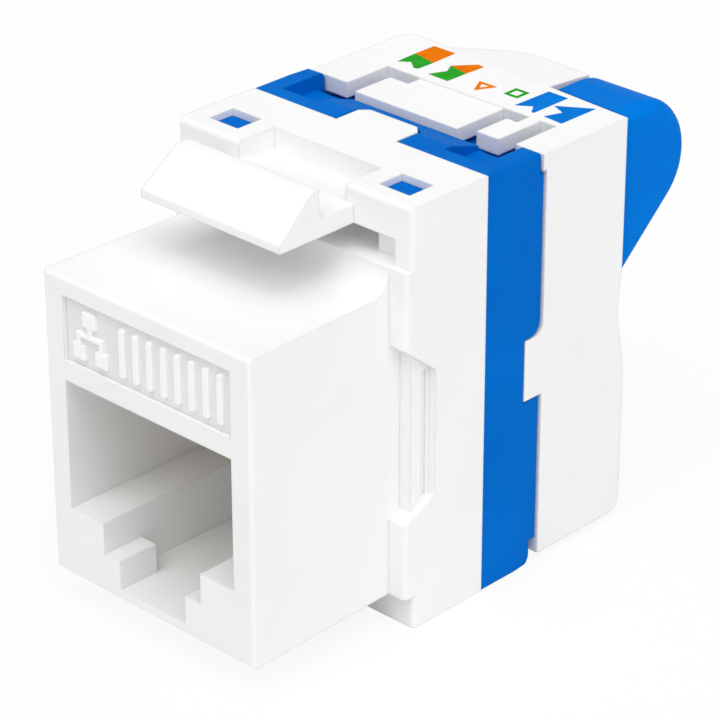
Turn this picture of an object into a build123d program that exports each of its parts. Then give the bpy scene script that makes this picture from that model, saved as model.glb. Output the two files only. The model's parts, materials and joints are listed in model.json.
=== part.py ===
"""Tool-free keystone jack: port housing, blue core with its contacts, wiring cap and cable clamp."""

from build123d import *
import math
import os

os.makedirs("parts", exist_ok=True)

# Frame: X to the right seen from the port, Y towards the cable, Z up, in millimetres.
# The origin is under the middle of the jack, on the surface that it stands on.
# Depths are measured from the port face, and heights from the standing surface.
LENGTH = 31.75
HALF_WIDTH = 8.15
TOP = 23.55
GAP = 0.1

# Port nose
NOSE_HALF_FRONT = 7.25
NOSE_HALF_BACK = 7.0
NOSE_BOTTOM = 1.9
NOSE_TOP = 18.85
NOSE_EDGE = 0.2
ROOT_FILLET = 1.2

# Socket: a wide upper part for the plug, and a channel below for its latch with a catch on each side
MOUTH_HALF = 5.9
MOUTH_TOP = 13.15
SHOULDER = 5.85
CHANNEL_HALF = 3.5
CHANNEL_FLOOR = 2.5
CATCH_HALF_GAP = 2.35
CATCH_TOP = 4.1
CATCH_DEPTH = 2.5
SOCKET_DEPTH = 11.9

# Sunk field above the socket
FIELD_HALF = 5.9
FIELD_BOTTOM = 14.25
FIELD_TOP = 17.85
FIELD_DEPTH = 0.3

# Collar and its two ears
COLLAR_FRONT = 9.75
EAR_FRONT = 10.15
LIP_FRONT = 10.4
COLLAR_BACK = 15.55
LEDGE = 20.2
COLLAR_EDGE = 0.28
SLOT_HALF = 7.0
SLOT_DEEP_HALF = 5.2
SLOT_BACK = 12.3
SLOT_POST_FRONT = 10.9
LATCH_SEAT_HALF = 3.7
LATCH_SEAT_BACK = 12.65
LATCH_SEAT_LOW = 22.35

# Panel latch: a wedge on a flexing plate, both narrower towards the ears
LATCH_TIP_HALF = 4.82
LATCH_ROOT_HALF = 4.24
LATCH_TIP = 4.5
LATCH_TIP_BOTTOM = 22.0
LATCH_TIP_TOP = 22.4
LATCH_CREST_FRONT = 6.85
LATCH_CREST_BACK = 7.5
LATCH_CREST = 24.3
PLATE_BOTTOM = 21.6
PLATE_TOP = 22.6
LATCH_CREST_FILLET = 1.0
LATCH_FOOT_FILLET = 0.7

# Windows in the ears, and the snap tongues that show in them
WINDOW_INNER = 4.9
WINDOW_OUTER = 6.95
WINDOW_FRONT = 11.22
WINDOW_BACK = 12.91
TONGUE_BOTTOM = 22.05
TONGUE_TOP = 22.75
TONGUE_FRONT = 11.0
BUMP_TOP = 23.2

# Side notches of the collar
NOTCH_BACK = 11.9
NOTCH_FRONT_BOTTOM = 6.25
NOTCH_FRONT_TOP = 16.05
NOTCH_BACK_BOTTOM = 7.2
NOTCH_BACK_TOP = 14.3
NOTCH_FLOOR = 7.72
NOTCH_STEP = 10.55
GROOVE_FRONT = 11.35
GROOVE_BACK = 11.65
GROOVE_DEPTH = 0.12

# Tab of the collar that laps over the core
TAB_LEFT = -2.2
TAB_RIGHT = 1.95
TAB_TIP = 17.6
TAB_THICK = 0.8
TAB_CORNER = 0.45

# Room in the housing for the contact carrier, the board and the core's plug
CARRIER_HALF = 5.3
CARRIER_FRONT = 1.35
CARRIER_TOP = 17.45
CARRIER_BACK = 12.6
ROOM_HALF = 6.95
ROOM_BOTTOM = 1.3
ROOM_TOP = 20.0
ROOM_FRONT = 12.8

# Spring contacts
CONTACTS = 8
CONTACT_PITCH = 1.02
CONTACT_WIDTH = 0.45
CONTACT_THICK = 0.3
CONTACT_SLOT = 0.62
CONTACT_SLOT_FRONT = 1.95
RUN_HEIGHT = 16.0
BEND_DEPTH = 2.6
BEND_DROP = 14.3
BEND_RADIUS = 0.55
SPRING_TIP_DEPTH = 10.4
SPRING_TIP_HEIGHT = 10.5

# Circuit board
BOARD_FRONT = 13.1
BOARD_THICK = 1.2
BOARD_HALF = 6.6
BOARD_BOTTOM = 2.2
BOARD_TOP = 19.6
PIN_HOLE = 0.32

# Core: flange between collar and cap, with towers for the cutting contacts behind it
FLANGE_EDGE = 0.15
FLANGE_CREASE = 18.15
FLANGE_REAR = 19.85
FLANGE_REAR_HALF = 8.0
FLANGE_BACK = 19.0
FLANGE_RIM_BACK = 19.6
FLANGE_RIM_BOTTOM = 22.3
FLANGE_RIM_EDGE = 0.35
FLANGE_FOOT_BACK = 19.35
FLANGE_FOOT_TOP = 1.4
FLANGE_FOOT_FILLET = 0.6
NOTCH_FILLET = 0.7
NECK_HALF = 7.0
NECK_FRONT = 20.2
POCKET_INNER = 4.4
POCKET_OUTER = 7.0
POCKET_FRONT = 16.5
POCKET_FLOOR = 22.7
SLOPE_FRONT = 17.0
SLOPE_DROP = 0.6
PLUG_FRONT = 14.45
TOWER_BACK = 24.1
TOWER_HALF = 6.9
TOWER_HEIGHT = 6.7
TOWER_BASE = 1.5
TOWER_LID = 22.1
WEB_HALF = 0.6
WIRE_SLOT = 1.1
WIRE_SLOT_FRONT = 21.1

# Cutting contacts
BLADE_COLUMNS = (-5.35, -2.95, 2.95, 5.35)
BLADE_ROWS = (5.0, 18.8)
BLADE_THICK = 0.4
BLADE_HALF = 0.95
BLADE_SHANK_HALF = 0.5
BLADE_PIN_HALF = 0.22
BLADE_PIN_OUT = 0.2
BLADE_SHOULDER = 19.3
BLADE_BACK = 23.6
BLADE_FORK = 20.9
BLADE_GAP = 0.3
BLADE_ENTRY = 0.9

# Wiring cap
CAP_HALF = 8.1
CAP_FRONT = 20.0
CAP_TOP_FRONT = 19.75
CAP_BACK_HIGH = 26.2
CAP_BACK_LOW = 26.6
REAR_SKEW = 1.05
CAP_BOTTOM = 0.4
CAP_TOP = 23.35
CAP_WALL = 0.9
CAP_BACK_WALL = 1.1
CAP_HEEL = 0.9
CAP_CORNER = 0.9
WAVE_LOW = 8.3
WAVE_MIDDLE = 12.2
WAVE_HIGH = 15.5
WAVE_DIP = 0.2
HOOK_FRONT = 18.65
HOOK_BOTTOM = 9.9
HOOK_TOP = 13.35
HOOK_FILLET = 0.6
COMB_BACK = 22.85
COMB_LEFT = -5.5
COMB_RIGHT = 6.2
BLOCK_LEFT = -4.5
BLOCK_RIGHT = 2.65
BLOCK_FRONT = 19.3
BLOCK_STEP = 21.95
BLOCK_STEP_LEFT = -3.2
BLOCK_DROP = 0.08
PEG_FRONT = 19.62
PEG_LEFT = 3.7
PEG_RIGHT = 5.17
PEG_NECK = 4.4
PEG_BACK = 21.9
OUTLET_HEIGHT = 9.4
RIB_WIDTH = 0.7
RIB_FRONT = 22.2
RIB_HEIGHT = 2.2
RIB_OFFSET = 1.5

# Tail: the clamp's head on the right ends in a round, and the cap's hood on the left stops short of it.
# Both rise from the cap along one slope.
TAIL_RADIUS = 3.42
TAIL_CENTRE_HEIGHT = 19.93
TAIL_SLOPE = 41.6
HOOD_LEFT = -5.2
HOOD_RIGHT = 2.5
HOOD_CREASE = 26.4
HOOD_BACK = 29.95
HOOD_BACK_RIGHT = 29.8
HOOD_BACK_TOP = 23.05
HOOD_CORNER = -2.0
HOOD_FILLET = 1.6
HEAD_LEFT = 3.1
HEAD_RIGHT = 7.7
HEAD_EDGE = 0.75
GUIDE_FRONT = 27.0
GUIDE_BACK = 28.4
GUIDE_BOTTOM = 17.4
GUIDE_TOP = 20.6
GUIDE_END = -1.1

# Jaws that grip the cable: one fixed on the cap, one on the clamp
JAW_FRONT = 27.15
JAW_BACK = 28.2
JAW_TOP = 13.0
JAW_BOTTOM = 5.2
JAW_INNER = 1.6
JAW_OUTER = 6.2
JAW_CORNER = 0.9
GRIP_RADIUS = 3.1
GRIP_TOOTH = 0.3
GRIP_ANGLES = (-34, 0, 34)


def at(depth):
    """Y of a depth behind the port face."""
    return depth - LENGTH / 2


def across(depth):
    """Plane across the jack at a depth, its own axes X and Z. A negative extrusion goes back."""
    return Plane.XZ.offset(-at(depth))


def upright(x):
    """Plane along the jack at a width: its own axes are Y and Z."""
    return Plane.YZ.offset(x)


def level(z):
    """Plane at a height: its own axes are X and Y."""
    return Plane.XY.offset(z)


def limits(low_a, high_a, low_b, high_b, mode=Mode.ADD):
    """Rectangle between two pairs of limits in the sketch that is open."""
    with Locations(((low_a + high_a) / 2, (low_b + high_b) / 2)):
        Rectangle(high_a - low_a, high_b - low_b, mode=mode)


def corner_waste(a, b, reach_a, reach_b):
    """What a round leaves out at the corner (a, b) of the open sketch. Its centre is the reaches away."""
    with Locations((a + reach_a / 2, b + reach_b / 2)):
        Rectangle(abs(reach_a), abs(reach_b))
    with Locations((a + reach_a, b + reach_b)):
        Circle(abs(reach_a), mode=Mode.SUBTRACT)


def cap_back(x):
    """Depth of the cap's rear edge at a width: the rear is a little deeper on the left."""
    return CAP_BACK_HIGH + REAR_SKEW * (CAP_HALF - x) / (2 * CAP_HALF)


tail_centre = LENGTH - TAIL_RADIUS
contact_columns = [(i - (CONTACTS - 1) / 2) * CONTACT_PITCH for i in range(CONTACTS)]


# Latch: ramp to the crest, catch face behind it, and the plate back to the ears
with BuildPart() as latch:
    with BuildSketch(upright(0)):
        with BuildLine():
            Polyline(
                (at(LATCH_TIP), LATCH_TIP_BOTTOM),
                (at(LATCH_TIP), LATCH_TIP_TOP),
                (at(LATCH_CREST_FRONT), LATCH_CREST),
                (at(LATCH_CREST_BACK), LATCH_CREST),
                (at(LATCH_CREST_BACK), PLATE_TOP),
                (at(EAR_FRONT), PLATE_TOP),
                (at(EAR_FRONT), PLATE_BOTTOM),
                close=True,
            )
        make_face()
    extrude(amount=LATCH_TIP_HALF, both=True)
    latch_edges = latch.edges().filter_by(Axis.X)
    crest = latch_edges.group_by(Axis.Z)[-1].sort_by(Axis.Y)[0]
    fillet(crest, radius=LATCH_CREST_FILLET)
    latch_edges = latch.edges().filter_by(Axis.X)
    foot = latch_edges.filter_by_position(Axis.Z, PLATE_TOP - 0.01, PLATE_TOP + 0.01).sort_by(Axis.Y)[0]
    fillet(foot, radius=LATCH_FOOT_FILLET)
    with BuildSketch(level(0)):
        with BuildLine():
            Polyline(
                (-LATCH_TIP_HALF, at(LATCH_TIP)),
                (LATCH_TIP_HALF, at(LATCH_TIP)),
                (LATCH_ROOT_HALF, at(EAR_FRONT)),
                (-LATCH_ROOT_HALF, at(EAR_FRONT)),
                close=True,
            )
        make_face()
    extrude(amount=LATCH_CREST, mode=Mode.INTERSECT)


# Housing: nose, collar, ears and latch are one moulding.
with BuildPart() as housing:
    with BuildSketch(upright(0)):
        with BuildLine():
            Polyline(
                (at(LIP_FRONT), 0),
                (at(COLLAR_BACK), 0),
                (at(COLLAR_BACK), TOP),
                (at(EAR_FRONT), TOP),
                (at(EAR_FRONT), LEDGE),
                (at(COLLAR_FRONT), LEDGE),
                (at(COLLAR_FRONT), NOSE_BOTTOM),
                (at(LIP_FRONT), NOSE_BOTTOM),
                close=True,
            )
        make_face()
    extrude(amount=HALF_WIDTH, both=True)

    # nose, drawn in a little towards the collar
    with BuildSketch(across(0)):
        limits(-NOSE_HALF_FRONT, NOSE_HALF_FRONT, NOSE_BOTTOM, NOSE_TOP)
    with BuildSketch(across(COLLAR_FRONT)):
        limits(-NOSE_HALF_BACK, NOSE_HALF_BACK, NOSE_BOTTOM, NOSE_TOP)
    loft()
    root = housing.edges().filter_by(Axis.X).filter_by_position(Axis.Z, NOSE_TOP - 0.01, NOSE_TOP + 0.01)
    fillet(root.sort_by(Axis.Y)[-1], radius=ROOT_FILLET)
    nose_rims = housing.edges().filter_by_position(Axis.Y, at(0) - 0.01, at(0) + 0.01)
    fillet(nose_rims, radius=NOSE_EDGE)
    collar_rims = [
        edge for edge in housing.edges().filter_by(Axis.Z) if HALF_WIDTH - abs(edge.center().X) < 0.01
    ]
    ear_rim = housing.edges().filter_by(Axis.X).group_by(Axis.Z)[-1].sort_by(Axis.Y)[0]
    front_rims = [edge for edge in collar_rims if edge.center().Y < at(COLLAR_BACK) - 1]
    fillet(front_rims + [ear_rim], radius=COLLAR_EDGE)

    # slot below the latch plate and the ears, deeper in the middle
    with BuildSketch(across(0)):
        limits(-SLOT_HALF, SLOT_HALF, LEDGE, PLATE_BOTTOM)
    extrude(amount=-SLOT_POST_FRONT, mode=Mode.SUBTRACT)
    with BuildSketch(across(0)):
        limits(-SLOT_DEEP_HALF, SLOT_DEEP_HALF, LEDGE, PLATE_BOTTOM)
    extrude(amount=-SLOT_BACK, mode=Mode.SUBTRACT)

    # seat between the ears: its floor goes on from the latch plate and falls a little
    with BuildSketch(upright(0)):
        with BuildLine():
            Polyline(
                (at(EAR_FRONT), PLATE_TOP),
                (at(LATCH_SEAT_BACK), LATCH_SEAT_LOW),
                (at(LATCH_SEAT_BACK), TOP),
                (at(EAR_FRONT), TOP),
                close=True,
            )
        make_face()
    extrude(amount=LATCH_SEAT_HALF, both=True, mode=Mode.SUBTRACT)
    add(latch.part)

    # windows for the snap tongues, and the channels that the tongues slide in along
    for side in (-1, 1):
        window_middle = side * (WINDOW_INNER + WINDOW_OUTER) / 2
        window_width = WINDOW_OUTER - WINDOW_INNER
        with BuildSketch(level(TOP)):
            with Locations((window_middle, at((WINDOW_FRONT + WINDOW_BACK) / 2))):
                Rectangle(window_width, WINDOW_BACK - WINDOW_FRONT)
        extrude(amount=TONGUE_BOTTOM - TOP, mode=Mode.SUBTRACT)
        with BuildSketch(across(COLLAR_BACK)):
            with Locations((window_middle, (TONGUE_BOTTOM + TONGUE_TOP) / 2)):
                Rectangle(window_width + 2 * GAP, TONGUE_TOP - TONGUE_BOTTOM + 2 * GAP)
        extrude(amount=COLLAR_BACK - TONGUE_FRONT + GAP, mode=Mode.SUBTRACT)

    # side notches: open against the nose as deep as its side, then a step up to a grooved floor
    for side in (-1, 1):
        for back, reach in (
            (NOTCH_BACK, NOTCH_FLOOR - HALF_WIDTH - 1),
            (NOTCH_STEP, NOSE_HALF_BACK - HALF_WIDTH - 1),
        ):
            share = (back - COLLAR_FRONT) / (NOTCH_BACK - COLLAR_FRONT)
            with BuildSketch(upright(side * (HALF_WIDTH + 1))):
                with BuildLine():
                    Polyline(
                        (at(COLLAR_FRONT), NOTCH_FRONT_BOTTOM),
                        (at(back), NOTCH_FRONT_BOTTOM + share * (NOTCH_BACK_BOTTOM - NOTCH_FRONT_BOTTOM)),
                        (at(back), NOTCH_FRONT_TOP + share * (NOTCH_BACK_TOP - NOTCH_FRONT_TOP)),
                        (at(COLLAR_FRONT), NOTCH_FRONT_TOP),
                        close=True,
                    )
                make_face()
            extrude(amount=side * reach, mode=Mode.SUBTRACT)
        with BuildSketch(upright(side * NOTCH_FLOOR)):
            limits(at(GROOVE_FRONT), at(GROOVE_BACK), NOTCH_BACK_BOTTOM, NOTCH_BACK_TOP)
        extrude(amount=-side * GROOVE_DEPTH, mode=Mode.SUBTRACT)

    # socket for the plug
    with BuildSketch(across(0)):
        limits(-MOUTH_HALF, MOUTH_HALF, SHOULDER, MOUTH_TOP)
        limits(-CHANNEL_HALF, CHANNEL_HALF, CHANNEL_FLOOR, SHOULDER)
    extrude(amount=-SOCKET_DEPTH, mode=Mode.SUBTRACT)
    with BuildSketch(across(0)):
        for side in (-1, 1):
            catch_middle = side * (CATCH_HALF_GAP + CHANNEL_HALF) / 2
            with Locations((catch_middle, (CHANNEL_FLOOR + CATCH_TOP) / 2)):
                Rectangle(CHANNEL_HALF - CATCH_HALF_GAP, CATCH_TOP - CHANNEL_FLOOR)
    extrude(amount=-CATCH_DEPTH)

    # sunk field above the socket
    with BuildSketch(across(0)):
        limits(-FIELD_HALF, FIELD_HALF, FIELD_BOTTOM, FIELD_TOP)
    extrude(amount=-FIELD_DEPTH, mode=Mode.SUBTRACT)

    # room for the contact carrier above the socket, open to the board behind
    with BuildSketch(across(CARRIER_FRONT - GAP)):
        limits(-CARRIER_HALF - GAP, CARRIER_HALF + GAP, MOUTH_TOP, CARRIER_TOP + GAP)
    extrude(amount=CARRIER_FRONT - GAP - ROOM_FRONT, mode=Mode.SUBTRACT)
    with BuildSketch(across(COLLAR_BACK)):
        limits(-ROOM_HALF, ROOM_HALF, ROOM_BOTTOM, ROOM_TOP)
    extrude(amount=COLLAR_BACK - ROOM_FRONT, mode=Mode.SUBTRACT)

    # tab that laps over the core
    with BuildSketch(level(TOP)) as tab:
        limits(TAB_LEFT, TAB_RIGHT, at(COLLAR_BACK), at(TAB_TIP))
        chamfer(tab.vertices().group_by(Axis.Y)[-1], length=TAB_CORNER)
    extrude(amount=-TAB_THICK)
housing.part.label = "housing"
export_step(housing.part, "parts/housing.step")


# Contact carrier: a comb in the roof of the socket, with one slot for each spring contact
with BuildPart() as contact_carrier:
    with BuildSketch(across(CARRIER_FRONT)):
        limits(-CARRIER_HALF, CARRIER_HALF, MOUTH_TOP + GAP, CARRIER_TOP)
    extrude(amount=CARRIER_FRONT - CARRIER_BACK)
    with BuildSketch(level(MOUTH_TOP + GAP)):
        for x in contact_columns:
            limits(x - CONTACT_SLOT / 2, x + CONTACT_SLOT / 2, at(CONTACT_SLOT_FRONT), at(CARRIER_BACK))
    extrude(amount=RUN_HEIGHT + CONTACT_THICK / 2 + GAP / 2 - MOUTH_TOP - GAP, mode=Mode.SUBTRACT)
contact_carrier.part.label = "contact_carrier"
export_step(contact_carrier.part, "parts/contact_carrier.step")


# Spring contacts: forward from the board along the slot's roof, then back down into the socket
for number, x in enumerate(contact_columns, start=1):
    with BuildPart() as spring_contact:
        with BuildSketch(upright(x)):
            with BuildLine():
                FilletPolyline(
                    (at(BOARD_FRONT + BOARD_THICK + GAP), RUN_HEIGHT),
                    (at(BEND_DEPTH), RUN_HEIGHT),
                    (at(BEND_DEPTH), BEND_DROP),
                    (at(SPRING_TIP_DEPTH), SPRING_TIP_HEIGHT),
                    radius=BEND_RADIUS,
                )
            trace(line_width=CONTACT_THICK)
        extrude(amount=CONTACT_WIDTH / 2, both=True)
    spring_contact.part.label = f"spring_contact_{number}"
    export_step(spring_contact.part, f"parts/spring_contact_{number}.step")


# Circuit board: across the jack, with a hole for every contact's pin
with BuildPart() as circuit_board:
    with BuildSketch(across(BOARD_FRONT)):
        limits(-BOARD_HALF, BOARD_HALF, BOARD_BOTTOM, BOARD_TOP)
        with Locations(*[(x, RUN_HEIGHT) for x in contact_columns]):
            Circle(PIN_HOLE, mode=Mode.SUBTRACT)
        with Locations(*[(x, z) for x in BLADE_COLUMNS for z in BLADE_ROWS]):
            Circle(PIN_HOLE, mode=Mode.SUBTRACT)
    extrude(amount=-BOARD_THICK)
circuit_board.part.label = "circuit_board"
export_step(circuit_board.part, "parts/circuit_board.step")


# Core: visible flange, plug that backs the board, snap tongues, and two towers for the cutting contacts
with BuildPart() as core_body:
    with BuildSketch(level(0)):
        with BuildLine():
            Polyline(
                (-HALF_WIDTH, at(COLLAR_BACK)),
                (HALF_WIDTH, at(COLLAR_BACK)),
                (HALF_WIDTH, at(FLANGE_CREASE)),
                (FLANGE_REAR_HALF, at(FLANGE_REAR)),
                (NECK_HALF, at(FLANGE_REAR)),
                (NECK_HALF, at(NECK_FRONT)),
                (-NECK_HALF, at(NECK_FRONT)),
                (-NECK_HALF, at(FLANGE_REAR)),
                (-FLANGE_REAR_HALF, at(FLANGE_REAR)),
                (-HALF_WIDTH, at(FLANGE_CREASE)),
                close=True,
            )
        make_face()
    extrude(amount=TOP)
    flange_corners = core_body.edges().filter_by(Axis.Y).filter_by_position(Axis.X, -HALF_WIDTH, HALF_WIDTH)
    fillet(flange_corners, radius=FLANGE_EDGE)

    # behind the flange the top and the foot step down under the cap, and a rim stays up on each side
    with BuildSketch(upright(0)):
        limits(at(FLANGE_BACK), at(NECK_FRONT) + 1, TOWER_LID, TOP + 1)
    extrude(amount=POCKET_OUTER, both=True, mode=Mode.SUBTRACT)
    with BuildSketch(upright(0)):
        limits(at(FLANGE_RIM_BACK), at(NECK_FRONT) + 1, FLANGE_RIM_BOTTOM, TOP + 1)
        limits(at(FLANGE_FOOT_BACK), at(NECK_FRONT) + 1, -1, FLANGE_FOOT_TOP)
        corner_waste(at(FLANGE_RIM_BACK), TOP, -FLANGE_RIM_EDGE, -FLANGE_RIM_EDGE)
        corner_waste(at(FLANGE_FOOT_BACK), 0, -FLANGE_FOOT_FILLET, FLANGE_FOOT_FILLET)
    extrude(amount=HALF_WIDTH + 1, both=True, mode=Mode.SUBTRACT)

    # shallow pockets at the top, open to the rear, and the seat of the collar's tab
    for side in (-1, 1):
        with BuildSketch(level(POCKET_FLOOR)):
            pocket_middle = side * (POCKET_INNER + POCKET_OUTER) / 2
            with Locations((pocket_middle, at((POCKET_FRONT + FLANGE_BACK + 1) / 2))):
                Rectangle(POCKET_OUTER - POCKET_INNER, FLANGE_BACK + 1 - POCKET_FRONT)
        extrude(amount=TOP, mode=Mode.SUBTRACT)
    with BuildSketch(level(TOP)) as tab_seat:
        limits(TAB_LEFT - GAP, TAB_RIGHT + GAP, at(COLLAR_BACK), at(TAB_TIP) + GAP)
        chamfer(tab_seat.vertices().group_by(Axis.Y)[-1], length=TAB_CORNER)
    extrude(amount=-TAB_THICK - GAP, mode=Mode.SUBTRACT)

    # the middle of the top falls gently towards the cap
    with BuildSketch(upright(0)):
        with BuildLine():
            Polyline(
                (at(SLOPE_FRONT), TOP),
                (at(FLANGE_BACK), TOP - SLOPE_DROP),
                (at(FLANGE_BACK), TOP),
                close=True,
            )
        make_face()
    extrude(amount=POCKET_INNER, both=True, mode=Mode.SUBTRACT)

    # plug that backs the board
    with BuildSketch(across(COLLAR_BACK)):
        limits(-ROOM_HALF + GAP, ROOM_HALF - GAP, ROOM_BOTTOM + GAP, ROOM_TOP - GAP)
    extrude(amount=COLLAR_BACK - PLUG_FRONT)

    # towers, with a slot for each wire open to the rear
    with BuildSketch(across(NECK_FRONT)):
        limits(-TOWER_HALF, TOWER_HALF, TOWER_BASE, TOWER_BASE + TOWER_HEIGHT)
        limits(-TOWER_HALF, TOWER_HALF, TOWER_LID - TOWER_HEIGHT, TOWER_LID)
        limits(-WEB_HALF, WEB_HALF, TOWER_BASE, TOWER_LID)
    extrude(amount=NECK_FRONT - TOWER_BACK)
    with BuildSketch(level(0)):
        for x in BLADE_COLUMNS:
            limits(x - WIRE_SLOT / 2, x + WIRE_SLOT / 2, at(WIRE_SLOT_FRONT), at(TOWER_BACK))
    extrude(amount=TOP, mode=Mode.SUBTRACT)

    # slits that hold the cutting contacts
    for z in BLADE_ROWS:
        with BuildSketch(level(z)):
            for x in BLADE_COLUMNS:
                limits(
                    x - BLADE_HALF - GAP / 2,
                    x + BLADE_HALF + GAP / 2,
                    at(BLADE_SHOULDER) - GAP / 2,
                    at(TOWER_BACK),
                )
                limits(
                    x - BLADE_SHANK_HALF - GAP / 2,
                    x + BLADE_SHANK_HALF + GAP / 2,
                    at(PLUG_FRONT),
                    at(BLADE_SHOULDER),
                )
        extrude(amount=(BLADE_THICK + GAP) / 2, both=True, mode=Mode.SUBTRACT)

    # notches for the cap's hooks
    for side in (-1, 1):
        with BuildSketch(upright(side * (HALF_WIDTH + 1))):
            limits(at(HOOK_FRONT) - GAP, at(NECK_FRONT), HOOK_BOTTOM - GAP, HOOK_TOP + GAP)
            corner_waste(at(FLANGE_REAR), HOOK_TOP + GAP, -NOTCH_FILLET, NOTCH_FILLET)
        extrude(amount=side * (CAP_HALF - CAP_WALL - GAP - HALF_WIDTH - 1), mode=Mode.SUBTRACT)

    # snap tongues with the bumps that show in the windows
    for side in (-1, 1):
        tongue_middle = side * (WINDOW_INNER + WINDOW_OUTER) / 2
        tongue_width = WINDOW_OUTER - WINDOW_INNER - GAP
        with BuildSketch(upright(tongue_middle)):
            with BuildLine():
                Polyline(
                    (at(COLLAR_BACK), TONGUE_BOTTOM),
                    (at(TONGUE_FRONT), TONGUE_BOTTOM),
                    (at(TONGUE_FRONT), TONGUE_TOP),
                    (at(WINDOW_FRONT) + GAP, TONGUE_TOP),
                    (at(WINDOW_FRONT) + 3 * GAP, BUMP_TOP),
                    (at(WINDOW_BACK) - GAP, BUMP_TOP),
                    (at(WINDOW_BACK) - GAP, TONGUE_TOP),
                    (at(COLLAR_BACK), TONGUE_TOP),
                    close=True,
                )
            make_face()
        extrude(amount=tongue_width / 2, both=True)
core_body.part.label = "core_body"
export_step(core_body.part, "parts/core_body.step")


# Cutting contacts: flat blades with a fork at the rear for a wire, and a pin through the board
blade_number = 0
for z in BLADE_ROWS[::-1]:
    for x in BLADE_COLUMNS:
        blade_number += 1
        with BuildPart() as cutting_contact:
            with BuildSketch(level(z)):
                limits(x - BLADE_HALF, x + BLADE_HALF, at(BLADE_SHOULDER), at(BLADE_BACK))
                limits(x - BLADE_SHANK_HALF, x + BLADE_SHANK_HALF, at(PLUG_FRONT), at(BLADE_SHOULDER))
                limits(
                    x - BLADE_PIN_HALF,
                    x + BLADE_PIN_HALF,
                    at(BOARD_FRONT) - BLADE_PIN_OUT,
                    at(PLUG_FRONT),
                )
                fork_length = BLADE_BACK - BLADE_FORK + BLADE_GAP
                with Locations((x, at((BLADE_FORK + BLADE_BACK) / 2))):
                    SlotOverall(fork_length, BLADE_GAP, rotation=90, mode=Mode.SUBTRACT)
                with Locations((x, at(BLADE_BACK))):
                    Rectangle(BLADE_ENTRY, BLADE_ENTRY, rotation=45, mode=Mode.SUBTRACT)
            extrude(amount=BLADE_THICK / 2, both=True)
        cutting_contact.part.label = f"cutting_contact_{blade_number}"
        export_step(cutting_contact.part, f"parts/cutting_contact_{blade_number}.step")


def tail_slope(depth):
    """Height of the tail's sloped underside at a depth."""
    slope = math.radians(TAIL_SLOPE)
    touch_depth = tail_centre + TAIL_RADIUS * math.sin(slope)
    touch_height = TAIL_CENTRE_HEIGHT - TAIL_RADIUS * math.cos(slope)
    return touch_height - (touch_depth - depth) * math.tan(slope)


def jaw(side):
    """Jaw on one side of the cable in the open sketch, with teeth round the grip."""
    with Locations((side * (JAW_INNER + JAW_OUTER) / 2, (JAW_BOTTOM + JAW_TOP) / 2)):
        RectangleRounded(JAW_OUTER - JAW_INNER, JAW_TOP - JAW_BOTTOM, JAW_CORNER)
    with Locations((0, OUTLET_HEIGHT)):
        Circle(GRIP_RADIUS, mode=Mode.SUBTRACT)
    for angle in GRIP_ANGLES:
        turn = math.radians(angle)
        with Locations((side * GRIP_RADIUS * math.cos(turn), OUTLET_HEIGHT + GRIP_RADIUS * math.sin(turn))):
            Rectangle(GRIP_TOOTH * 2, GRIP_TOOTH * 2, rotation=45 + side * angle)


# Hood: the cap's half of the tail, its corner cut off in plan, with a guide inside for the clamp's tongue
with BuildPart() as hood:
    hood_root = CAP_BACK_HIGH - CAP_BACK_WALL / 2
    with BuildSketch(upright(HOOD_LEFT)):
        with BuildLine():
            Polyline(
                (at(hood_root), CAP_TOP),
                (at(HOOD_CREASE), CAP_TOP),
                (at(HOOD_BACK), HOOD_BACK_TOP),
                (at(HOOD_BACK), tail_slope(HOOD_BACK)),
                (at(hood_root), tail_slope(hood_root)),
                close=True,
            )
        make_face()
    extrude(amount=HOOD_RIGHT - HOOD_LEFT)
    with BuildSketch(level(0)) as hood_plan:
        with BuildLine():
            Polyline(
                (HOOD_LEFT, at(hood_root)),
                (HOOD_LEFT, at(cap_back(HOOD_LEFT))),
                (HOOD_CORNER, at(HOOD_BACK)),
                (HOOD_RIGHT, at(HOOD_BACK_RIGHT)),
                (HOOD_RIGHT, at(hood_root)),
                close=True,
            )
        make_face()
        fillet(hood_plan.vertices().sort_by(Axis.Y)[-1], radius=HOOD_FILLET)
    extrude(amount=TOP, mode=Mode.INTERSECT)
    with BuildSketch(upright(GUIDE_END)):
        limits(at(GUIDE_FRONT), at(GUIDE_BACK), GUIDE_BOTTOM, GUIDE_TOP)
    extrude(amount=HOOD_RIGHT - GUIDE_END, mode=Mode.SUBTRACT)


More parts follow.
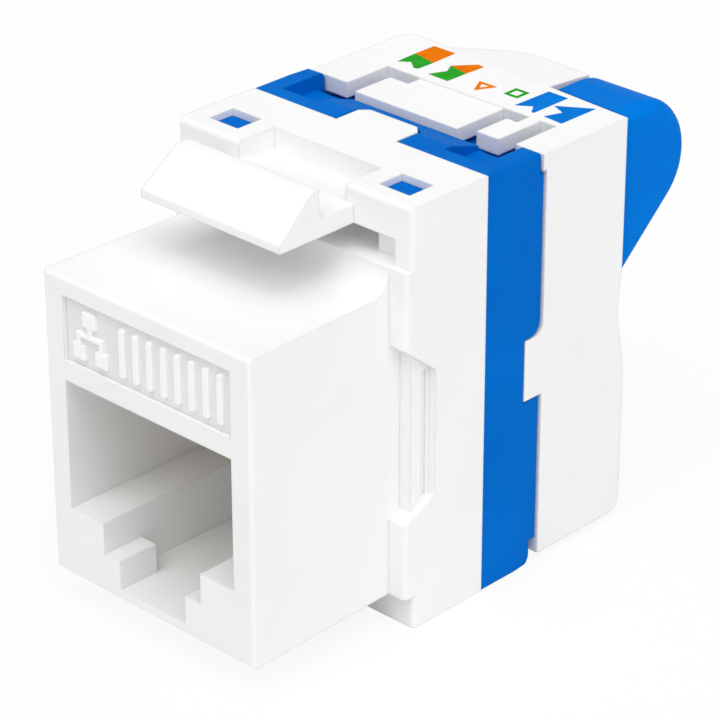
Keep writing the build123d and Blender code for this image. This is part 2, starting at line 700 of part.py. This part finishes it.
# Wiring cap: shell over the towers, comb along the top front edge, hooks, cable outlet and hood
with BuildPart() as wiring_cap:
    for x, deeper in ((CAP_HALF, 0), (-CAP_HALF, REAR_SKEW)):
        low = at(CAP_BACK_LOW + deeper)
        high = at(CAP_BACK_HIGH + deeper)
        with BuildSketch(upright(x)):
            with BuildLine():
                Line((at(CAP_FRONT), CAP_BOTTOM), (low, CAP_BOTTOM))
                Line((low, CAP_BOTTOM), (low, WAVE_LOW))
                Spline(
                    (low, WAVE_LOW),
                    (high - WAVE_DIP, WAVE_MIDDLE),
                    (high, WAVE_HIGH),
                    tangents=((0, 1), (0, 1)),
                )
                Line((high, WAVE_HIGH), (high, CAP_TOP))
                Line((high, CAP_TOP), (at(CAP_FRONT), CAP_TOP))
                Line((at(CAP_FRONT), CAP_TOP), (at(CAP_FRONT), CAP_BOTTOM))
            make_face()
    loft()
    heel = wiring_cap.edges().filter_by_position(Axis.Z, CAP_BOTTOM - 0.01, CAP_BOTTOM + 0.01)
    fillet(heel.sort_by(Axis.Y)[-1], radius=CAP_HEEL)
    left_corner = wiring_cap.edges().filter_by(Axis.Z).sort_by(Axis.Y)[-1]
    fillet(left_corner, radius=CAP_CORNER)
    with BuildSketch(across(CAP_FRONT)):
        limits(-CAP_HALF + CAP_WALL, CAP_HALF - CAP_WALL, CAP_BOTTOM + CAP_WALL, CAP_TOP - CAP_WALL)
    extrude(amount=CAP_FRONT - CAP_BACK_HIGH + CAP_BACK_WALL, mode=Mode.SUBTRACT)

    # comb: the top is cut back between the end blocks, and the wide block and the peg stand in the cut
    with BuildSketch(level(CAP_TOP)):
        limits(COMB_LEFT, COMB_RIGHT, at(CAP_FRONT) - 1, at(COMB_BACK))
    extrude(amount=-CAP_WALL, mode=Mode.SUBTRACT)
    with BuildSketch(level(CAP_TOP)):
        limits(-CAP_HALF, COMB_LEFT, at(CAP_TOP_FRONT), at(CAP_FRONT))
        limits(COMB_RIGHT, CAP_HALF, at(CAP_TOP_FRONT), at(CAP_FRONT))
        with BuildLine():
            Polyline(
                (BLOCK_LEFT, at(BLOCK_FRONT)),
                (BLOCK_RIGHT, at(BLOCK_FRONT)),
                (BLOCK_RIGHT, at(COMB_BACK)),
                (BLOCK_STEP_LEFT, at(COMB_BACK)),
                (BLOCK_STEP_LEFT, at(BLOCK_STEP)),
                (BLOCK_LEFT, at(BLOCK_STEP)),
                close=True,
            )
        make_face()
        limits(PEG_LEFT, PEG_RIGHT, at(PEG_FRONT), at(PEG_BACK))
        limits(PEG_NECK, PEG_RIGHT, at(PEG_BACK), at(COMB_BACK))
    extrude(amount=-CAP_WALL)
    with BuildSketch(level(CAP_TOP)):
        limits(BLOCK_LEFT, BLOCK_RIGHT, at(BLOCK_FRONT), at(COMB_BACK))
    extrude(amount=-BLOCK_DROP, mode=Mode.SUBTRACT)

    # hooks
    for side in (-1, 1):
        with BuildSketch(upright(side * CAP_HALF)):
            limits(at(HOOK_FRONT), at(CAP_FRONT), HOOK_BOTTOM, HOOK_TOP)
            corner_waste(at(CAP_FRONT), HOOK_TOP, -HOOK_FILLET, HOOK_FILLET)
        extrude(amount=-side * CAP_WALL)

    # ribs that press the wires home, in two lengths to clear each blade
    with BuildSketch(across(RIB_FRONT)):
        for z in BLADE_ROWS:
            for x in BLADE_COLUMNS:
                for up in (-1, 1):
                    with Locations((x, z + up * RIB_OFFSET)):
                        Rectangle(RIB_WIDTH, RIB_HEIGHT)
    extrude(amount=RIB_FRONT - CAP_BACK_HIGH + CAP_BACK_WALL)

    # cable outlet through the rear wall, the fixed jaw beside it, and the hood above
    with BuildSketch(across(RIB_FRONT)):
        with Locations((0, OUTLET_HEIGHT)):
            Circle(GRIP_RADIUS)
    extrude(amount=RIB_FRONT - JAW_BACK, mode=Mode.SUBTRACT)
    with BuildSketch(across(CAP_BACK_HIGH - CAP_BACK_WALL / 2)):
        jaw(-1)
    extrude(amount=CAP_BACK_HIGH - CAP_BACK_WALL / 2 - JAW_BACK)
    add(hood.part)
wiring_cap.part.label = "wiring_cap"
export_step(wiring_cap.part, "parts/wiring_cap.step")


# Cable clamp: round head, tongue that runs in the hood's guide, and the moving jaw
with BuildPart() as cable_clamp:
    head_front = CAP_BACK_HIGH + GAP
    slope = math.radians(TAIL_SLOPE)
    centre = (at(tail_centre), TAIL_CENTRE_HEIGHT)
    touch = (
        centre[0] + TAIL_RADIUS * math.sin(slope),
        centre[1] - TAIL_RADIUS * math.cos(slope),
    )
    with BuildSketch(upright(HEAD_LEFT)):
        with BuildLine():
            Line((at(head_front), CAP_TOP), (centre[0], CAP_TOP))
            CenterArc(centre, TAIL_RADIUS, 90, TAIL_SLOPE - 180)
            Line(touch, (at(head_front), tail_slope(head_front)))
            Line((at(head_front), tail_slope(head_front)), (at(head_front), CAP_TOP))
        make_face()
    extrude(amount=HEAD_RIGHT - HEAD_LEFT)
    head_rim = cable_clamp.edges().filter_by_position(Axis.X, HEAD_RIGHT - 0.01, HEAD_RIGHT + 0.01)
    fillet(head_rim, radius=HEAD_EDGE)

    # the head's front follows the cap's slanted rear
    with BuildSketch(level(0)):
        with BuildLine():
            Polyline(
                (HEAD_LEFT, at(CAP_BACK_HIGH)),
                (HEAD_RIGHT, at(CAP_BACK_HIGH)),
                (HEAD_RIGHT, at(cap_back(HEAD_RIGHT) + GAP)),
                (HEAD_LEFT, at(cap_back(HEAD_LEFT) + GAP)),
                close=True,
            )
        make_face()
    extrude(amount=TOP, mode=Mode.SUBTRACT)
    with BuildSketch(upright(HEAD_LEFT)):
        limits(at(GUIDE_FRONT) + GAP, at(GUIDE_BACK) - GAP, GUIDE_BOTTOM + GAP, GUIDE_TOP - GAP)
    extrude(amount=GUIDE_END + GAP - HEAD_LEFT)
    with BuildSketch(across(JAW_FRONT)):
        jaw(1)
        limits(HEAD_LEFT, JAW_OUTER, JAW_TOP - JAW_CORNER, TAIL_CENTRE_HEIGHT)
    extrude(amount=JAW_FRONT - JAW_BACK)
cable_clamp.part.label = "cable_clamp"
export_step(cable_clamp.part, "parts/cable_clamp.step")
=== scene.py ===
import json
import math

import bmesh
import bpy
from mathutils import Matrix, Vector


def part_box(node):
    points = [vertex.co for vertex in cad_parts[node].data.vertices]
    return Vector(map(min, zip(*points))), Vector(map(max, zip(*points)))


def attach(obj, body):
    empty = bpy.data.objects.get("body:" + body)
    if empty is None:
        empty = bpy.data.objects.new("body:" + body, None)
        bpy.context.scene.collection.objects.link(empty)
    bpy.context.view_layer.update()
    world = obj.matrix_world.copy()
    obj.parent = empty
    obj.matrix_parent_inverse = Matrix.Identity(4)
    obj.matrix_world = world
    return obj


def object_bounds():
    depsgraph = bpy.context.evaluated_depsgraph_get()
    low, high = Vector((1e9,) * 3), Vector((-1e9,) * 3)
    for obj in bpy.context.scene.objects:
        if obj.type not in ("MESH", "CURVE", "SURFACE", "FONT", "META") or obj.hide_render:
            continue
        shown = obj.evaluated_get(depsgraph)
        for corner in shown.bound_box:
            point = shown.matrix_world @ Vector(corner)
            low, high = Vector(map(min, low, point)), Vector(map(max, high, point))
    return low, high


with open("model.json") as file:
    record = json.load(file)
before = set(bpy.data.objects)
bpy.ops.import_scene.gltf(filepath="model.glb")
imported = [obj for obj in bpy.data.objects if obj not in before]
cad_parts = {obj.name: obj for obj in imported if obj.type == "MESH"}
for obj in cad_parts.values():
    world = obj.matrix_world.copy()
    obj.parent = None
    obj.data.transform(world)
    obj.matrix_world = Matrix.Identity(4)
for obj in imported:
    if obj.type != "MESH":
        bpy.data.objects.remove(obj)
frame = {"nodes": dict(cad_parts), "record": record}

cad_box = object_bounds()

# Places are given as in the part, in millimetres: width from the middle, depth behind the port face, and
# height. The lamps, the floor and the camera's clipping are in metres.
MM = 0.001
PORT_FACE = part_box("housing")[0].y
CAP_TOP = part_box("wiring_cap")[1].z / MM
CONTACTS = 8

# Camera, solved from the photo's edges, with its angles in degrees
CAMERA_PLACE = (105.61, -94.69, 88.96)
CAMERA_AZIMUTH = 43.92
CAMERA_ELEVATION = 27.17
CAMERA_ROLL = -0.09
FOCAL_PIXELS = 3300.9
FRAME_PIXELS = 720
SENSOR = 36.0
CLIP_START = 0.01
CLIP_END = 10

# Light: an even sky and four soft boxes, each with the way it looks (azimuth and elevation) and its power
SKY_LEVEL = 0.42
LAMPS = {
    "key": (10, 55, 5.5),
    "top": (44, 85, 2.0),
    "side": (70, 55, 4.2),
    "low": (100, 12, 1.9),
}
LAMP_DISTANCE = 1.2
LAMP_SIZE = 0.9

# Floor: its size, its own finish, and the share of its shading that is seen
FLOOR_HALF = 1.5
FLOOR_GREY = 0.9
FLOOR_ROUGHNESS = 0.9
FLOOR_SHADOW = 0.12

# Part of the noise's range that is spread over a material's two shades, or over its range of gloss
NOISE_LOW = 0.3
NOISE_HIGH = 0.7

# Radius of the moulded edges, and of the small ones on the raised pattern
EDGE_RADIUS = 0.12
FINE_EDGE_RADIUS = 0.04
EDGE_SAMPLES = 6

# Print on the cap
PRINT_THICK = 0.02
PRINT_LIFT = 0.002
MARK_STROKE = 0.2

# Sunk field over the socket: a grained floor in a darker grey, partly painted shade of the recess, and a
# raised pattern on it
FIELD_DEPTH = 0.3
FIELD_HALF = 5.88
FIELD_LOW = 14.27
FIELD_HIGH = 17.83
FIELD_FLOOR = 0.26
FIELD_SOFT = 0.01
RELIEF_FRONT = 0.03
RELIEF_SOFT = 0.04
RELIEF_MIDDLE = 16.05
RELIEF_HALF = 1.35
BAR_HALF = 0.2
BAR_ROUND = 0.9 * BAR_HALF
BAR_PITCH = 0.98
BAR_FIRST = -1.72
SIGN_MIDDLE = -4.05


def place(width, depth, height):
    """Point in metres from a width, a depth behind the port face and a height."""
    return Vector((width * MM, PORT_FACE + depth * MM, height * MM))


def srgb(red, green, blue):
    """Linear colour from display values of 0 to 255."""
    def linear(value):
        share = value / 255
        return share / 12.92 if share <= 0.04045 else ((share + 0.055) / 1.055) ** 2.4
    return linear(red), linear(green), linear(blue), 1.0


def grey(level):
    """Linear colour of an even grey."""
    return level, level, level, 1.0


class Shader:
    """A principled material that is built up node by node."""

    def __init__(self, name):
        self.material = bpy.data.materials.new(name)
        self.material.use_nodes = True
        self.nodes = self.material.node_tree.nodes
        self.links = self.material.node_tree.links
        self.shader = self.nodes["Principled BSDF"]
        self.coords = self.nodes.new("ShaderNodeTexCoord").outputs["Object"]
        self.edges = None

    def fixed(self, **values):
        """Sets sockets that are the same all over the surface."""
        for socket, value in values.items():
            self.shader.inputs[socket.replace("_", " ")].default_value = value

    def noise(self, size, detail=2.0, stretch=(1, 1, 1)):
        """Noise whose features are about size millimetres across."""
        mapping = self.nodes.new("ShaderNodeMapping")
        mapping.inputs["Scale"].default_value = stretch
        self.links.new(self.coords, mapping.inputs["Vector"])
        noise = self.nodes.new("ShaderNodeTexNoise")
        noise.inputs["Scale"].default_value = 1 / (size * MM)
        noise.inputs["Detail"].default_value = detail
        self.links.new(mapping.outputs["Vector"], noise.inputs["Vector"])
        return noise.outputs["Fac"]

    def colour(self, source, dark, light):
        """Base colour that drifts between two shades."""
        ramp = self.nodes.new("ShaderNodeValToRGB")
        ramp.color_ramp.elements[0].position = NOISE_LOW
        ramp.color_ramp.elements[0].color = dark
        ramp.color_ramp.elements[1].position = NOISE_HIGH
        ramp.color_ramp.elements[1].color = light
        self.links.new(source, ramp.inputs["Fac"])
        self.links.new(ramp.outputs["Color"], self.shader.inputs["Base Color"])

    def rough(self, source, low, high):
        """Roughness that drifts between two values."""
        ranged = self.nodes.new("ShaderNodeMapRange")
        ranged.inputs["From Min"].default_value = NOISE_LOW
        ranged.inputs["From Max"].default_value = NOISE_HIGH
        ranged.inputs["To Min"].default_value = low
        ranged.inputs["To Max"].default_value = high
        self.links.new(source, ranged.inputs["Value"])
        self.links.new(ranged.outputs["Result"], self.shader.inputs["Roughness"])

    def round_edges(self, radius):
        """Shades edges as if they were rounded to a radius in millimetres. It comes before the bump."""
        self.edges = self.nodes.new("ShaderNodeBevel")
        self.edges.samples = EDGE_SAMPLES
        self.edges.inputs["Radius"].default_value = radius * MM

    def bump(self, source, height):
        """Relief of that height in millimetres."""
        bump = self.nodes.new("ShaderNodeBump")
        bump.inputs["Strength"].default_value = 1.0
        bump.inputs["Distance"].default_value = height * MM
        self.links.new(source, bump.inputs["Height"])
        if self.edges:
            self.links.new(self.edges.outputs["Normal"], bump.inputs["Normal"])
        self.links.new(bump.outputs["Normal"], self.shader.inputs["Normal"])


def plastic(name, dark, light, roughness, gloss, grain=0.09, relief=0.004, edge=EDGE_RADIUS):
    """Moulded plastic: a slight drift of shade, a fine eroded texture and uneven gloss."""
    uneven = 0.05
    shader = Shader(name)
    shader.fixed(IOR=1.46, Specular_IOR_Level=gloss)
    shader.colour(shader.noise(size=5.0), dark, light)
    shader.rough(shader.noise(size=grain * 3), roughness - uneven, roughness + uneven)
    shader.round_edges(edge)
    shader.bump(shader.noise(size=grain, detail=3.0), relief)
    return shader.material


def metal(name, dark, light, roughness, grain):
    """Rolled and plated strip: fine lines from front to back, and uneven gloss."""
    uneven = 0.08
    shader = Shader(name)
    shader.fixed(Metallic=1.0)
    shader.colour(shader.noise(size=0.8), dark, light)
    lines = shader.noise(size=grain, stretch=(4, 0.4, 1))
    shader.rough(lines, roughness - uneven, roughness + uneven)
    shader.bump(lines, height=0.002)
    return shader.material


def board_laminate():
    """Green solder mask over glass weave."""
    shader = Shader("board")
    shader.fixed(IOR=1.5, Coat_Weight=0.4, Coat_Roughness=0.12)
    shader.colour(shader.noise(size=1.2), srgb(16, 84, 46), srgb(26, 104, 58))
    shader.rough(shader.noise(size=0.4), low=0.3, high=0.42)
    shader.bump(shader.noise(size=0.18, stretch=(1, 1, 3)), height=0.006)
    return shader.material


def ink(name, dark, light):
    """Pad print, a little uneven."""
    shader = Shader(name)
    shader.fixed(IOR=1.45, Specular_IOR_Level=0.01)
    shader.colour(shader.noise(size=0.9), dark, light)
    shader.rough(shader.noise(size=0.5), low=0.42, high=0.55)
    shader.bump(shader.noise(size=0.12), height=0.002)
    return shader.material


def clothe(node, material):
    """Gives a CAD node its material."""
    piece = frame["nodes"][node]
    piece.data.materials.clear()
    piece.data.materials.append(material)


def built(form, name, material):
    """Object of a finished form."""
    mesh = bpy.data.meshes.new(name)
    form.to_mesh(mesh)
    form.free()
    piece = bpy.data.objects.new(name, mesh)
    piece.data.materials.append(material)
    bpy.context.scene.collection.objects.link(piece)
    return piece


def settle(form, name, body, material):
    """Turns a finished form into a piece that rides on a body."""
    bmesh.ops.recalc_face_normals(form, faces=form.faces)
    piece = built(form, name, material)
    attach(piece, body)
    return piece


def shrunk(outline, inset):
    """Corners of an anticlockwise outline, moved inward by a width."""
    corners = []
    for i, corner in enumerate(outline):
        here = Vector(corner)
        arriving = (here - Vector(outline[i - 1])).normalized()
        leaving = (Vector(outline[(i + 1) % len(outline)]) - here).normalized()
        inward = Vector((-arriving.y - leaving.y, arriving.x + leaving.x))
        corners.append(here + inward * inset * 2 / inward.length_squared)
    return corners


def walls(form, near, far):
    """Joins two rings of points all the way round."""
    for i in range(len(near)):
        j = (i + 1) % len(near)
        form.faces.new((near[i], near[j], far[j], far[i]))


def level_ring(form, outline, height):
    """Ring of points at one height, from an outline in plan."""
    return [form.verts.new(place(width, depth, height)) for width, depth in outline]


def slab(name, corners, low, high, body, material):
    """Flat piece with an outline in plan, between two heights."""
    form = bmesh.new()
    bottom = level_ring(form, corners, low)
    top = level_ring(form, corners, high)
    form.faces.new(bottom[::-1])
    form.faces.new(top)
    walls(form, bottom, top)
    settle(form, name, body, material)


def outlined(name, corners, low, high, body, material):
    """Flat frame along an outline in plan, between two heights."""
    form = bmesh.new()
    inner = shrunk(corners, MARK_STROKE)
    rings = [
        level_ring(form, corners, low),
        level_ring(form, corners, high),
        level_ring(form, inner, high),
        level_ring(form, inner, low),
    ]
    for near, far in zip(rings, rings[1:] + rings[:1]):
        walls(form, near, far)
    settle(form, name, body, material)


def wiring_print():
    """Coloured fields behind the wire slots: two of orange and green on the left, two of blue on the right.
    Between them an outlined triangle and square stand for the two ways to wire the jack."""
    orange = ink("ink_orange", srgb(228, 112, 0), srgb(240, 126, 6))
    green = ink("ink_green", srgb(36, 152, 34), srgb(48, 168, 44))
    blue = ink("ink_blue", srgb(0, 112, 206), srgb(4, 126, 222))
    low = CAP_TOP + PRINT_LIFT
    high = low + PRINT_THICK
    fields = {
        "print_orange_1": (orange, (
            (-5.63, 25.10), (-4.06, 24.80), (-4.12, 26.58), (-5.62, 26.58),
        )),
        "print_green_1": (green, (
            (-5.57, 23.68), (-5.00, 24.10), (-4.34, 23.59), (-4.09, 23.68), (-4.06, 24.80), (-5.63, 25.10),
        )),
        "print_orange_2": (orange, (
            (-3.10, 25.12), (-1.80, 24.88), (-1.73, 26.20), (-2.16, 26.25),
        )),
        "print_green_2": (green, (
            (-3.19, 23.50), (-1.82, 23.47), (-1.80, 24.88), (-3.10, 25.12), (-2.74, 24.45),
        )),
        "print_blue_1": (blue, (
            (2.88, 23.47), (3.66, 24.00), (4.10, 23.35), (4.24, 23.40), (4.25, 26.02), (2.95, 26.03),
        )),
        "print_blue_2": (blue, (
            (4.91, 23.38), (6.17, 23.29), (6.19, 25.94), (4.41, 24.78), (5.30, 24.40),
        )),
    }
    for name, (material, corners) in fields.items():
        slab(name, corners, low, high, "cap", material)
    triangle = ((0.0, 23.5), (0.6, 24.62), (-0.6, 24.62))
    square = ((1.43, 24.22), (2.35, 24.22), (2.35, 25.2), (1.43, 25.2))
    outlined("print_triangle", triangle, low, high, "cap", orange)
    outlined("print_square", square, low, high, "cap", green)


def raised(form, outline, back, front, soft):
    """Adds a flat shape that stands up from the field, its front edge softened. Its outline is in width and
    height."""
    rings = []
    for depth, inset in ((back, 0), (front + soft, 0), (front, soft)):
        corners = shrunk(outline, inset)
        rings.append([form.verts.new(place(width, depth, height)) for width, height in corners])
    form.faces.new(rings[0])
    form.faces.new(rings[-1][::-1])
    for behind, ahead in zip(rings, rings[1:]):
        walls(form, ahead, behind)


def lozenge(width, height, half_width, half_height, radius, steps=6):
    """Outline of a bar with rounded corners, anticlockwise."""
    points = []
    for corner, (right, up) in enumerate(((1, 1), (-1, 1), (-1, -1), (1, -1))):
        for step in range(steps + 1):
            turn = math.radians(90 * corner + 90 * step / steps)
            points.append((
                width + right * (half_width - radius) + radius * math.cos(turn),
                height + up * (half_height - radius) + radius * math.sin(turn),
            ))
    return points


def network_sign(middle, height):
    """Outline of a network sign, anticlockwise: one box above two, joined by stem, crossbar and legs."""
    box_edge = 0.55
    upper_box_side = 0.47
    lower_box_inner = 0.38
    lower_box_outer = 1.22
    stem_side = 0.14
    crossbar_low = -0.11
    crossbar_high = 0.15
    leg_inner = 0.67
    leg_outer = 0.93
    right_half = (
        (leg_inner, crossbar_low),
        (leg_inner, -box_edge),
        (lower_box_inner, -box_edge),
        (lower_box_inner, -RELIEF_HALF),
        (lower_box_outer, -RELIEF_HALF),
        (lower_box_outer, -box_edge),
        (leg_outer, -box_edge),
        (leg_outer, crossbar_high),
        (stem_side, crossbar_high),
        (stem_side, box_edge),
        (upper_box_side, box_edge),
        (upper_box_side, RELIEF_HALF),
    )
    left_half = [(-x, z) for x, z in right_half[::-1]]
    return [(middle + x, height + z) for x, z in (*right_half, *left_half)]


def field_relief(floor_material, relief_material):
    """Floor of the sunk field, with a network sign and a bar for each of the contacts raised on it."""
    form = bmesh.new()
    corners = (
        (-FIELD_HALF, FIELD_LOW),
        (FIELD_HALF, FIELD_LOW),
        (FIELD_HALF, FIELD_HIGH),
        (-FIELD_HALF, FIELD_HIGH),
    )
    raised(form, corners, FIELD_DEPTH, FIELD_FLOOR, FIELD_SOFT)
    settle(form, "field_floor", "jack", floor_material)
    form = bmesh.new()
    raised(form, network_sign(SIGN_MIDDLE, RELIEF_MIDDLE), FIELD_DEPTH, RELIEF_FRONT, RELIEF_SOFT)
    for i in range(CONTACTS):
        bar = lozenge(BAR_FIRST + i * BAR_PITCH, RELIEF_MIDDLE, BAR_HALF, RELIEF_HALF, BAR_ROUND)
        raised(form, bar, FIELD_DEPTH, RELIEF_FRONT, RELIEF_SOFT)
    settle(form, "field_relief", "jack", relief_material)


def look(azimuth, elevation, roll):
    """Rotation of a camera or lamp: azimuth 0 looks along +Y, a positive elevation looks down."""
    turn = Matrix.Rotation(math.radians(azimuth), 4, "Z")
    tilt = Matrix.Rotation(math.radians(90 - elevation), 4, "X")
    return (turn @ tilt @ Matrix.Rotation(math.radians(roll), 4, "Z")).to_euler()


def camera():
    """Camera at the photo's viewing angle."""
    data = bpy.data.cameras.new("camera")
    data.sensor_width = SENSOR
    data.lens = FOCAL_PIXELS * SENSOR / FRAME_PIXELS
    data.clip_start = CLIP_START
    data.clip_end = CLIP_END
    piece = bpy.data.objects.new("camera", data)
    piece.location = place(*CAMERA_PLACE)
    piece.rotation_euler = look(CAMERA_AZIMUTH, CAMERA_ELEVATION, CAMERA_ROLL)
    bpy.context.scene.collection.objects.link(piece)
    bpy.context.scene.camera = piece


def soft_lamp(name, target, azimuth, elevation, power):
    """Square soft box that shines on a target."""
    data = bpy.data.lights.new(name, "AREA")
    data.shape = "SQUARE"
    data.size = LAMP_SIZE
    data.energy = power
    piece = bpy.data.objects.new(name, data)
    piece.rotation_euler = look(azimuth, elevation, 0)
    ahead = piece.rotation_euler.to_matrix() @ Vector((0, 0, -1))
    piece.location = target - ahead * LAMP_DISTANCE
    bpy.context.scene.collection.objects.link(piece)


def is_seen(nodes, links):
    """1 for rays that show a surface to the eye: straight from the camera, off gloss or through glass."""
    path = nodes.new("ShaderNodeLightPath")
    seen = path.outputs["Is Camera Ray"]
    for ray in ("Is Glossy Ray", "Is Transmission Ray"):
        larger = nodes.new("ShaderNodeMath")
        larger.operation = "MAXIMUM"
        links.new(seen, larger.inputs[0])
        links.new(path.outputs[ray], larger.inputs[1])
        seen = larger.outputs[0]
    return seen


def sky():
    """Even white sky: white where it is seen, and a plain level where it lights the object."""
    world = bpy.data.worlds.new("sky")
    bpy.context.scene.world = world
    world.use_nodes = True
    nodes, links = world.node_tree.nodes, world.node_tree.links
    background = nodes["Background"]
    background.inputs["Color"].default_value = grey(1)
    strength = nodes.new("ShaderNodeMapRange")
    strength.inputs["To Min"].default_value = SKY_LEVEL
    strength.inputs["To Max"].default_value = 1.0
    links.new(is_seen(nodes, links), strength.inputs["Value"])
    links.new(strength.outputs["Result"], background.inputs["Strength"])


def floor_finish():
    """Matt white, of which a share of the shading is seen."""
    material = bpy.data.materials.new("floor")
    material.use_nodes = True
    nodes, links = material.node_tree.nodes, material.node_tree.links
    shader = nodes["Principled BSDF"]
    shader.inputs["Base Color"].default_value = grey(FLOOR_GREY)
    shader.inputs["Roughness"].default_value = FLOOR_ROUGHNESS
    glow = nodes.new("ShaderNodeEmission")
    mix = nodes.new("ShaderNodeMixShader")
    share = nodes.new("ShaderNodeMapRange")
    share.inputs["To Max"].default_value = 1 - FLOOR_SHADOW
    links.new(is_seen(nodes, links), share.inputs["Value"])
    links.new(share.outputs["Result"], mix.inputs["Fac"])
    links.new(shader.outputs["BSDF"], mix.inputs[1])
    links.new(glow.outputs["Emission"], mix.inputs[2])
    links.new(mix.outputs["Shader"], nodes["Material Output"].inputs["Surface"])
    return material


def floor():
    """Pale floor that takes a light shadow."""
    form = bmesh.new()
    corners = (
        (-FLOOR_HALF, -FLOOR_HALF),
        (FLOOR_HALF, -FLOOR_HALF),
        (FLOOR_HALF, FLOOR_HALF),
        (-FLOOR_HALF, FLOOR_HALF),
    )
    form.faces.new([form.verts.new((x, y, cad_box[0].z)) for x, y in corners])
    piece = built(form, "floor", floor_finish())


# Finishes
white = plastic("white_plastic", grey(0.902), grey(0.926), roughness=0.42, gloss=0.4)
blue = plastic("blue_plastic", srgb(0, 104, 198), srgb(1, 110, 205), roughness=0.45, gloss=0.01)
# Lighter copy of the blue for the clamp: painted light from above, not a blue of its own
top_lit_blue = plastic("top_lit_blue_plastic", srgb(0, 114, 212), srgb(1, 120, 219), roughness=0.45, gloss=0.01)
# Field floor: a grained finish, and a darker grey than the housing that is partly painted shade of the sunk
# field
grained_shaded = plastic(
    "grained_shaded_plastic", grey(0.8), grey(0.835),
    roughness=0.55, gloss=0.2, grain=0.14, relief=0.012, edge=FINE_EDGE_RADIUS,
)
pale = plastic(
    "pale_plastic", grey(0.96), grey(0.975),
    roughness=0.4, gloss=0.4, relief=0.003, edge=FINE_EDGE_RADIUS,
)
carrier = plastic(
    "carrier_plastic", (0.7, 0.7, 0.68, 1), (0.74, 0.74, 0.72, 1),
    roughness=0.5, gloss=0.5, grain=0.08,
)
gold = metal("gilded_contact", (0.83, 0.6, 0.25, 1), (0.9, 0.68, 0.32, 1), roughness=0.25, grain=0.08)
tin = metal("tinned_contact", (0.68, 0.68, 0.66, 1), (0.76, 0.76, 0.74, 1), roughness=0.35, grain=0.1)
board = board_laminate()

finishes = {
    "white_plastic": white,
    "blue_plastic": blue,
    "carrier_plastic": carrier,
    "board": board,
    "gilded_contact": gold,
    "tinned_contact": tin,
}
for row in frame["record"]["subparts"]:
    clothe(row["node"], finishes[row["material_slot"]])
# The clamp is a moulding of its own; its lighter blue is painted light, a lit copy of the core's blue
# standing in for the stronger light from above on its top
clothe("cable_clamp", top_lit_blue)

wiring_print()
field_relief(grained_shaded, pale)

middle = (cad_box[0] + cad_box[1]) / 2
camera()
for name, (azimuth, elevation, power) in LAMPS.items():
    soft_lamp(name, middle, azimuth, elevation, power)
sky()
floor()
bpy.context.scene.view_settings.view_transform = "Standard"
